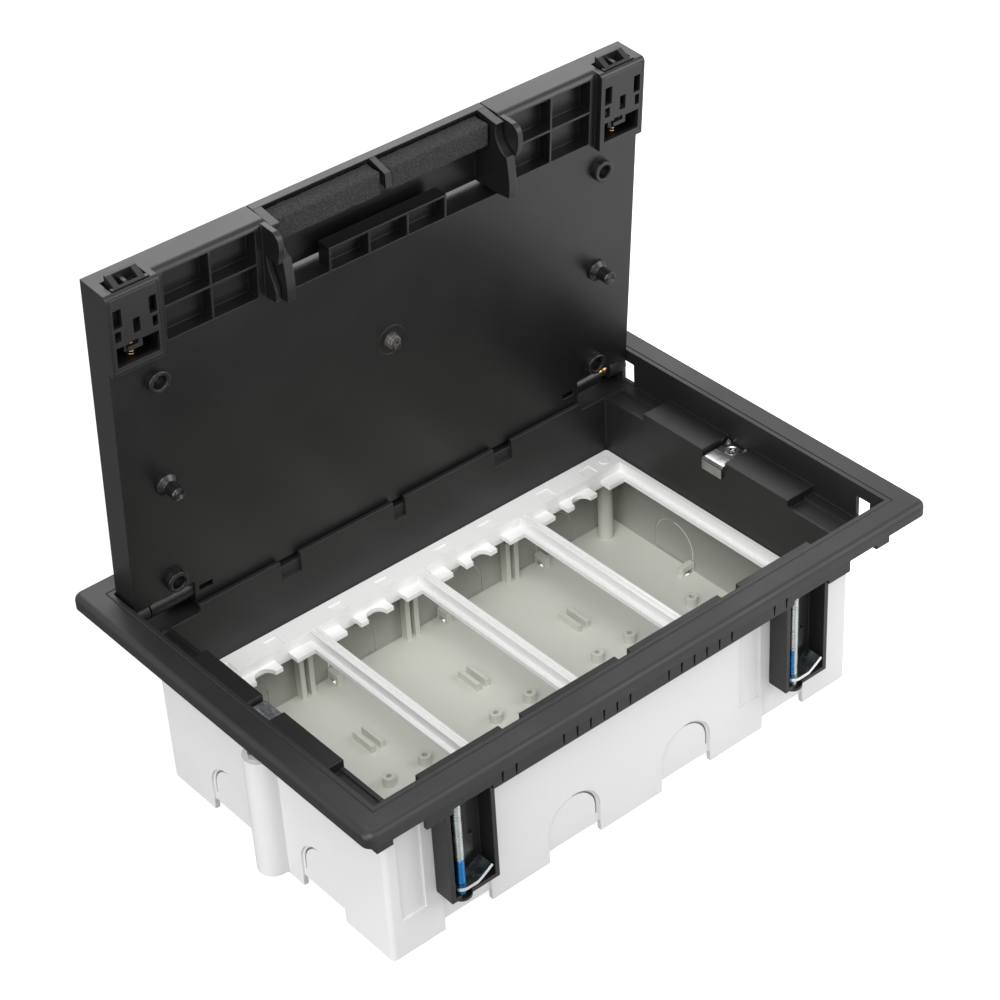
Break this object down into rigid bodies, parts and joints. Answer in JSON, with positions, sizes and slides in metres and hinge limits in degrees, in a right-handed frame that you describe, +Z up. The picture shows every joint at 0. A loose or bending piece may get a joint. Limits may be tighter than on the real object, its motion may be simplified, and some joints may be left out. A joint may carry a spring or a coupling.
{
  "type": "floor socket box",
  "caption": "Floor socket box: rim with clamping claws, cable housing, frame with module bays, and a hinged lid with spring latches and a cable outlet flap.",
  "frame": {"origin": "centre of the housing's underside", "axes": "+X along the long side, +Y towards the lid hinge, +Z up out of the floor"},
  "size_m": [0.2682, 0.1788, 0.2303],
  "materials": {
    "frame_plastic": "satin",
    "box_plastic": "satin",
    "module_plastic": "satin",
    "lid_plastic": "polished",
    "latch_plastic": "satin",
    "insert_steel": "rolled",
    "zinc": "zinc plated",
    "retainer_plastic": "satin",
    "brass": "turned",
    "spring_steel": "drawn",
    "foam": "open-cell foam"
  },
  "bodies": {
    "frame": {"floor_frame": "frame_plastic", "floor_box": "box_plastic", "module_frame": "module_plastic", "level_clip_left": "zinc", "level_clip_right": "zinc", "level_screw_left": "zinc", "level_screw_right": "zinc", "level_nut_left": "zinc", "level_nut_right": "zinc"},
    "lid": {"lid": "lid_plastic", "insert_plate": "insert_steel", "insert_screws": "zinc", "latch_cover_left": "lid_plastic", "latch_cover_right": "lid_plastic", "hinge_pin": "zinc", "latch_spring_left": "spring_steel", "latch_spring_right": "spring_steel", "release_spring": "spring_steel"},
    "flap": {"cable_flap": "lid_plastic", "foam_pad_left": "foam", "foam_pad_right": "foam"},
    "latch_left": {"latch_left": "latch_plastic"},
    "latch_right": {"latch_right": "latch_plastic"},
    "release_pin": {"release_pin": "brass"},
    "claw_screw_front_left": {"claw_screw_front_left": "zinc", "claw_retainer_front_left": "retainer_plastic"},
    "claw_front_left": {"claw_front_left": "zinc"},
    "claw_screw_front_right": {"claw_screw_front_right": "zinc", "claw_retainer_front_right": "retainer_plastic"},
    "claw_front_right": {"claw_front_right": "zinc"},
    "claw_screw_back_left": {"claw_screw_back_left": "zinc", "claw_retainer_back_left": "retainer_plastic"},
    "claw_back_left": {"claw_back_left": "zinc"},
    "claw_screw_back_right": {"claw_screw_back_right": "zinc", "claw_retainer_back_right": "retainer_plastic"},
    "claw_back_right": {"claw_back_right": "zinc"}
  },
  "joints": [
    {"name": "lid_hinge", "type": "hinge", "parent": "frame", "child": "lid", "pos_m": [0, 0.0709, 0.0799], "axis": [1, 0, 0], "range_deg": [0, 85.2]},
    {"name": "flap_hinge", "type": "hinge", "parent": "lid", "child": "flap", "pos_m": [0, 0.06543, 0.19886], "axis": [-1, 0, 0], "range_deg": [0, 90]},
    {"name": "latch_left_slide", "type": "slide", "parent": "lid", "child": "latch_left", "axis": [0, 0.0837, -0.9965], "range_m": [0, 0.0034], "stiffness_N_per_m": 300, "springref_m": -0.003, "deforming": ["latch_spring_left"]},
    {"name": "latch_right_slide", "type": "slide", "parent": "lid", "child": "latch_right", "axis": [0, 0.0837, -0.9965], "range_m": [0, 0.0034], "stiffness_N_per_m": 300, "springref_m": -0.003, "deforming": ["latch_spring_right"]},
    {"name": "release_pin_slide", "type": "slide", "parent": "lid", "child": "release_pin", "axis": [-1, 0, 0], "range_m": [0, 0.0046], "stiffness_N_per_m": 250, "springref_m": -0.003, "deforming": ["release_spring"]},
    {"name": "claw_screw_front_left_turn", "type": "hinge", "parent": "frame", "child": "claw_screw_front_left", "pos_m": [-0.0867, -0.0744, 0.05], "axis": [0, 0, -1], "range_deg": [0, 90]},
    {"name": "claw_front_left_climb", "type": "slide", "parent": "claw_screw_front_left", "child": "claw_front_left", "axis": [0, 0, 1], "range_m": [0, 0.034]},
    {"name": "claw_screw_front_right_turn", "type": "hinge", "parent": "frame", "child": "claw_screw_front_right", "pos_m": [0.0783, -0.0744, 0.05], "axis": [0, 0, -1], "range_deg": [0, 90]},
    {"name": "claw_front_right_climb", "type": "slide", "parent": "claw_screw_front_right", "child": "claw_front_right", "axis": [0, 0, 1], "range_m": [0, 0.034]},
    {"name": "claw_screw_back_left_turn", "type": "hinge", "parent": "frame", "child": "claw_screw_back_left", "pos_m": [-0.0783, 0.0744, 0.05], "axis": [0, 0, -1], "range_deg": [0, 90]},
    {"name": "claw_back_left_climb", "type": "slide", "parent": "claw_screw_back_left", "child": "claw_back_left", "axis": [0, 0, 1], "range_m": [0, 0.034]},
    {"name": "claw_screw_back_right_turn", "type": "hinge", "parent": "frame", "child": "claw_screw_back_right", "pos_m": [0.0867, 0.0744, 0.05], "axis": [0, 0, -1], "range_deg": [0, 90]},
    {"name": "claw_back_right_climb", "type": "slide", "parent": "claw_screw_back_right", "child": "claw_back_right", "axis": [0, 0, 1], "range_m": [0, 0.034]}
  ]
}
